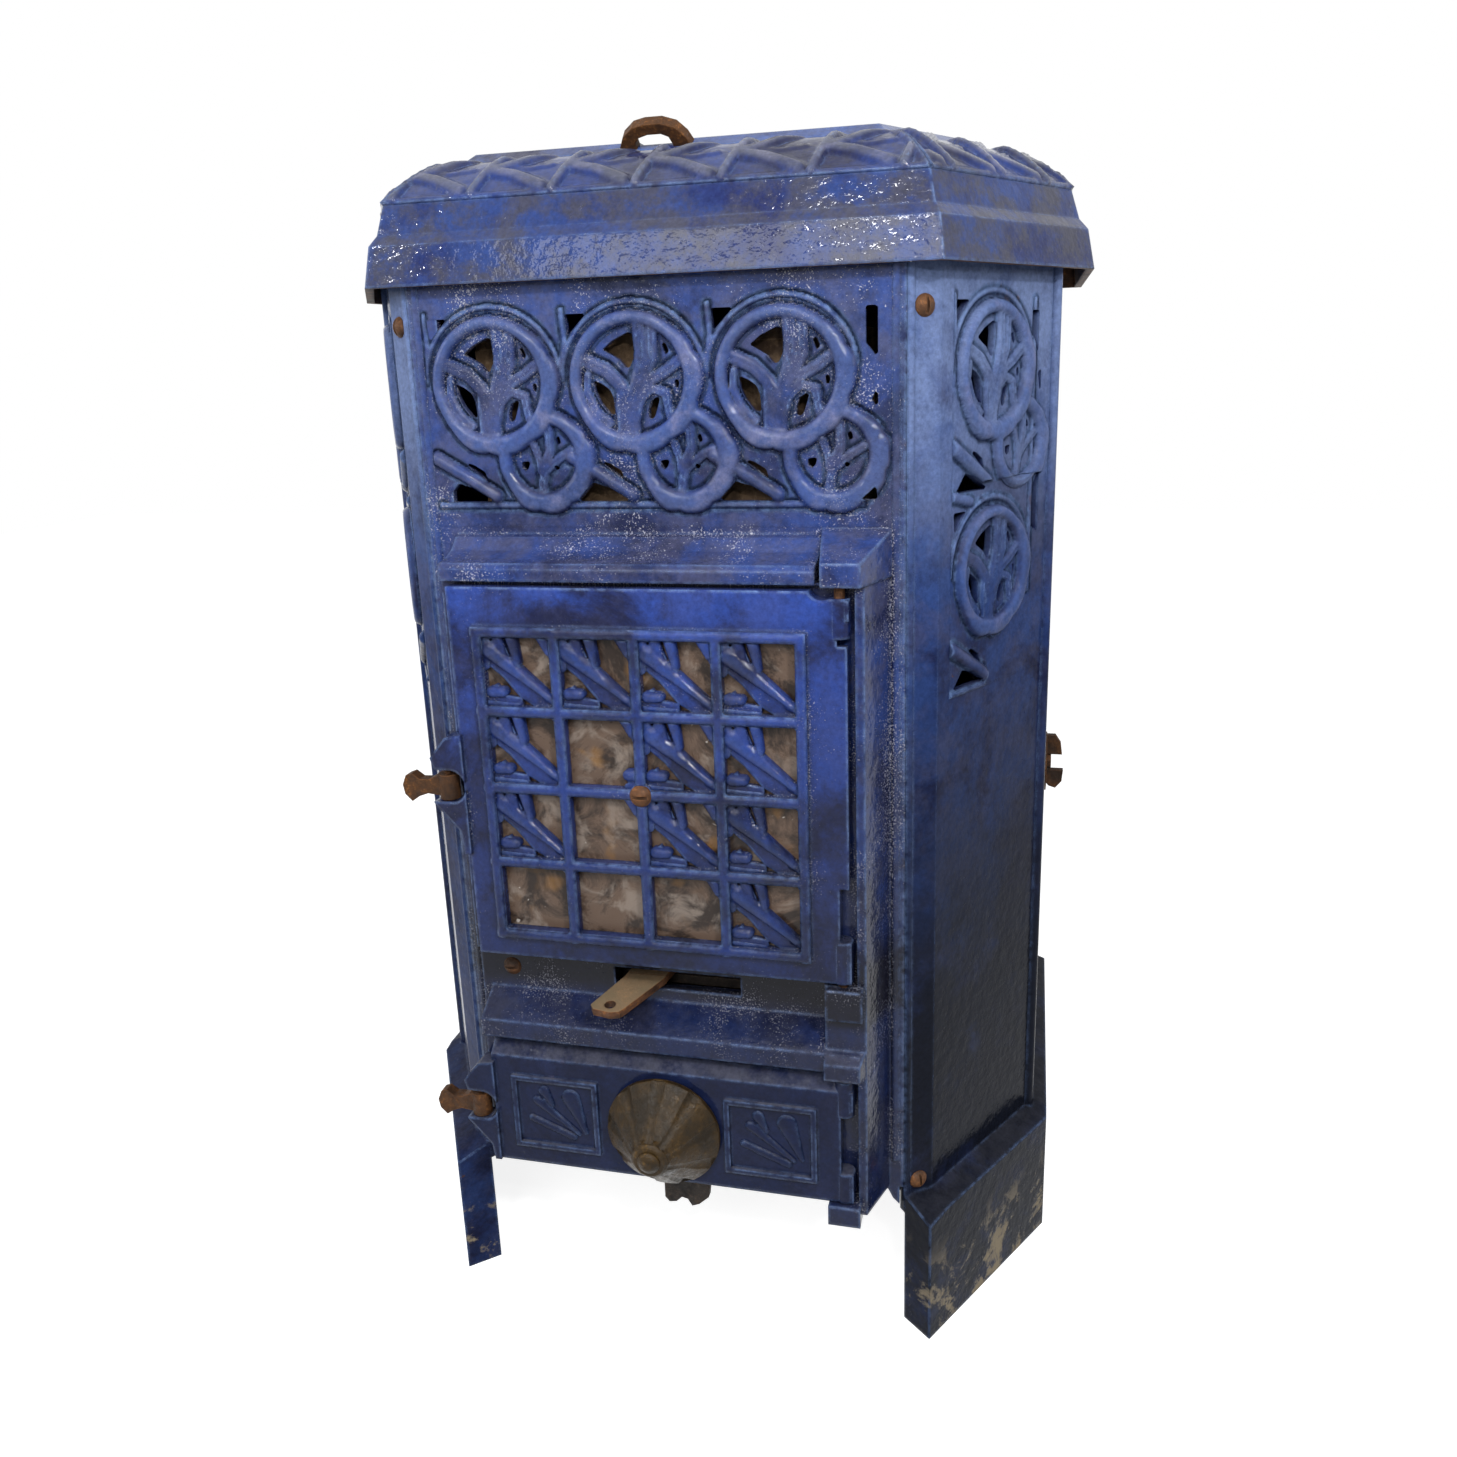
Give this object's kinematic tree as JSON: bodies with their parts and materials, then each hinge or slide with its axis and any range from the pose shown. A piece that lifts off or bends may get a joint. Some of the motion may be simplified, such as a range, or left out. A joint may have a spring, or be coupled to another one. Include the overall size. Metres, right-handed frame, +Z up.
{
  "type": "cast-iron room stove",
  "caption": "Enamelled cast-iron room stove with splayed sides, ring frieze, mica-paned fire door, ash door with air regulator, turning grate and loose top plate.",
  "frame": {"origin": "centre of the bounding box on the floor", "axes": "+Z up, front towards -Y, +X to the right seen from the back (to the viewer's right when facing the front)"},
  "size_m": [0.481, 0.454, 0.745],
  "materials": {
    "blue_enamel": "worn cobalt enamel, chipped and dusty",
    "cornice_enamel": "glossy cobalt enamel with dust and chips",
    "door_enamel": "cobalt enamel, scorched and chipped to rust",
    "rusty_iron": "brown rust",
    "regulator_iron": "dark brown rust",
    "rusty_fasteners": "rusted steel",
    "black_iron": "sooty bare iron",
    "brown_iron": "tan and brown rust",
    "firebrick": "sooted firebrick",
    "mica": "smoked mottled mica"
  },
  "bodies": {
    "casing": {"front_plate": "blue_enamel", "left_side": "blue_enamel", "right_side": "blue_enamel", "back_plate": "blue_enamel", "base_plate": "black_iron", "top_cover": "cornice_enamel", "ash_chamber": "black_iron", "grate_frame": "black_iron", "ash_pan": "black_iron", "firebox": "brown_iron", "firebox_lid": "brown_iron", "back_brick": "firebrick", "left_brick": "firebrick", "right_brick": "firebrick", "flue_collar": "brown_iron", "collar_screws": "rusty_fasteners", "front_screws": "rusty_fasteners", "back_screws": "rusty_fasteners", "shutter_screw": "rusty_fasteners"},
    "fire_door": {"fire_door": "door_enamel", "mica_upper_left": "mica", "mica_upper_right": "mica", "mica_lower_left": "mica", "mica_lower_right": "mica", "mica_frame": "black_iron", "mica_screw": "rusty_fasteners", "mica_nut": "rusty_fasteners", "fire_door_pins": "rusty_fasteners", "fire_latch_pin": "rusty_fasteners"},
    "fire_latch": {"fire_latch": "rusty_iron"},
    "ash_door": {"ash_door": "door_enamel", "ash_door_pins": "rusty_fasteners", "ash_latch_pin": "rusty_fasteners", "regulator_spindle": "regulator_iron", "regulator_nut": "rusty_fasteners"},
    "ash_latch": {"ash_latch": "rusty_iron"},
    "air_regulator": {"air_regulator": "regulator_iron"},
    "grate": {"grate": "black_iron", "riddling_lever": "rusty_iron"},
    "top_plate": {"top_plate": "cornice_enamel", "top_handle": "rusty_iron"},
    "side_shutter": {"side_shutter": "rusty_iron"}
  },
  "joints": [
    {"name": "fire_door_hinge", "type": "hinge", "parent": "casing", "child": "fire_door", "pos_m": [0.11, -0.18405, 0.375], "axis": [0, 0, 1], "range_deg": [0, 95]},
    {"name": "fire_latch_turn", "type": "hinge", "parent": "fire_door", "child": "fire_latch", "pos_m": [-0.13, -0.18505, 0.368], "axis": [0, 0, 1], "range_deg": [0, 60]},
    {"name": "ash_door_hinge", "type": "hinge", "parent": "casing", "child": "ash_door", "pos_m": [0.11, -0.18405, 0.15], "axis": [0, 0, 1], "range_deg": [0, 95]},
    {"name": "ash_latch_turn", "type": "hinge", "parent": "ash_door", "child": "ash_latch", "pos_m": [-0.13, -0.18505, 0.148], "axis": [0, 0, 1], "range_deg": [0, 60]},
    {"name": "air_regulator_turn", "type": "hinge", "parent": "ash_door", "child": "air_regulator", "pos_m": [-0.0035, -0.20605, 0.147], "axis": [0, -1, 0], "range_deg": [0, 360]},
    {"name": "grate_turn", "type": "hinge", "parent": "casing", "child": "grate", "pos_m": [0, -0.02305, 0.232], "axis": [0, 0, 1], "range_deg": [-2.5, 18]},
    {"name": "top_plate_lift", "type": "slide", "parent": "casing", "child": "top_plate", "axis": [0, 0, 1], "range_m": [0, 0.06]},
    {"name": "side_shutter_turn", "type": "hinge", "parent": "casing", "child": "side_shutter", "pos_m": [0.223, 0.07395, 0.312], "axis": [1, 0, 0], "range_deg": [-70, 0]}
  ]
}
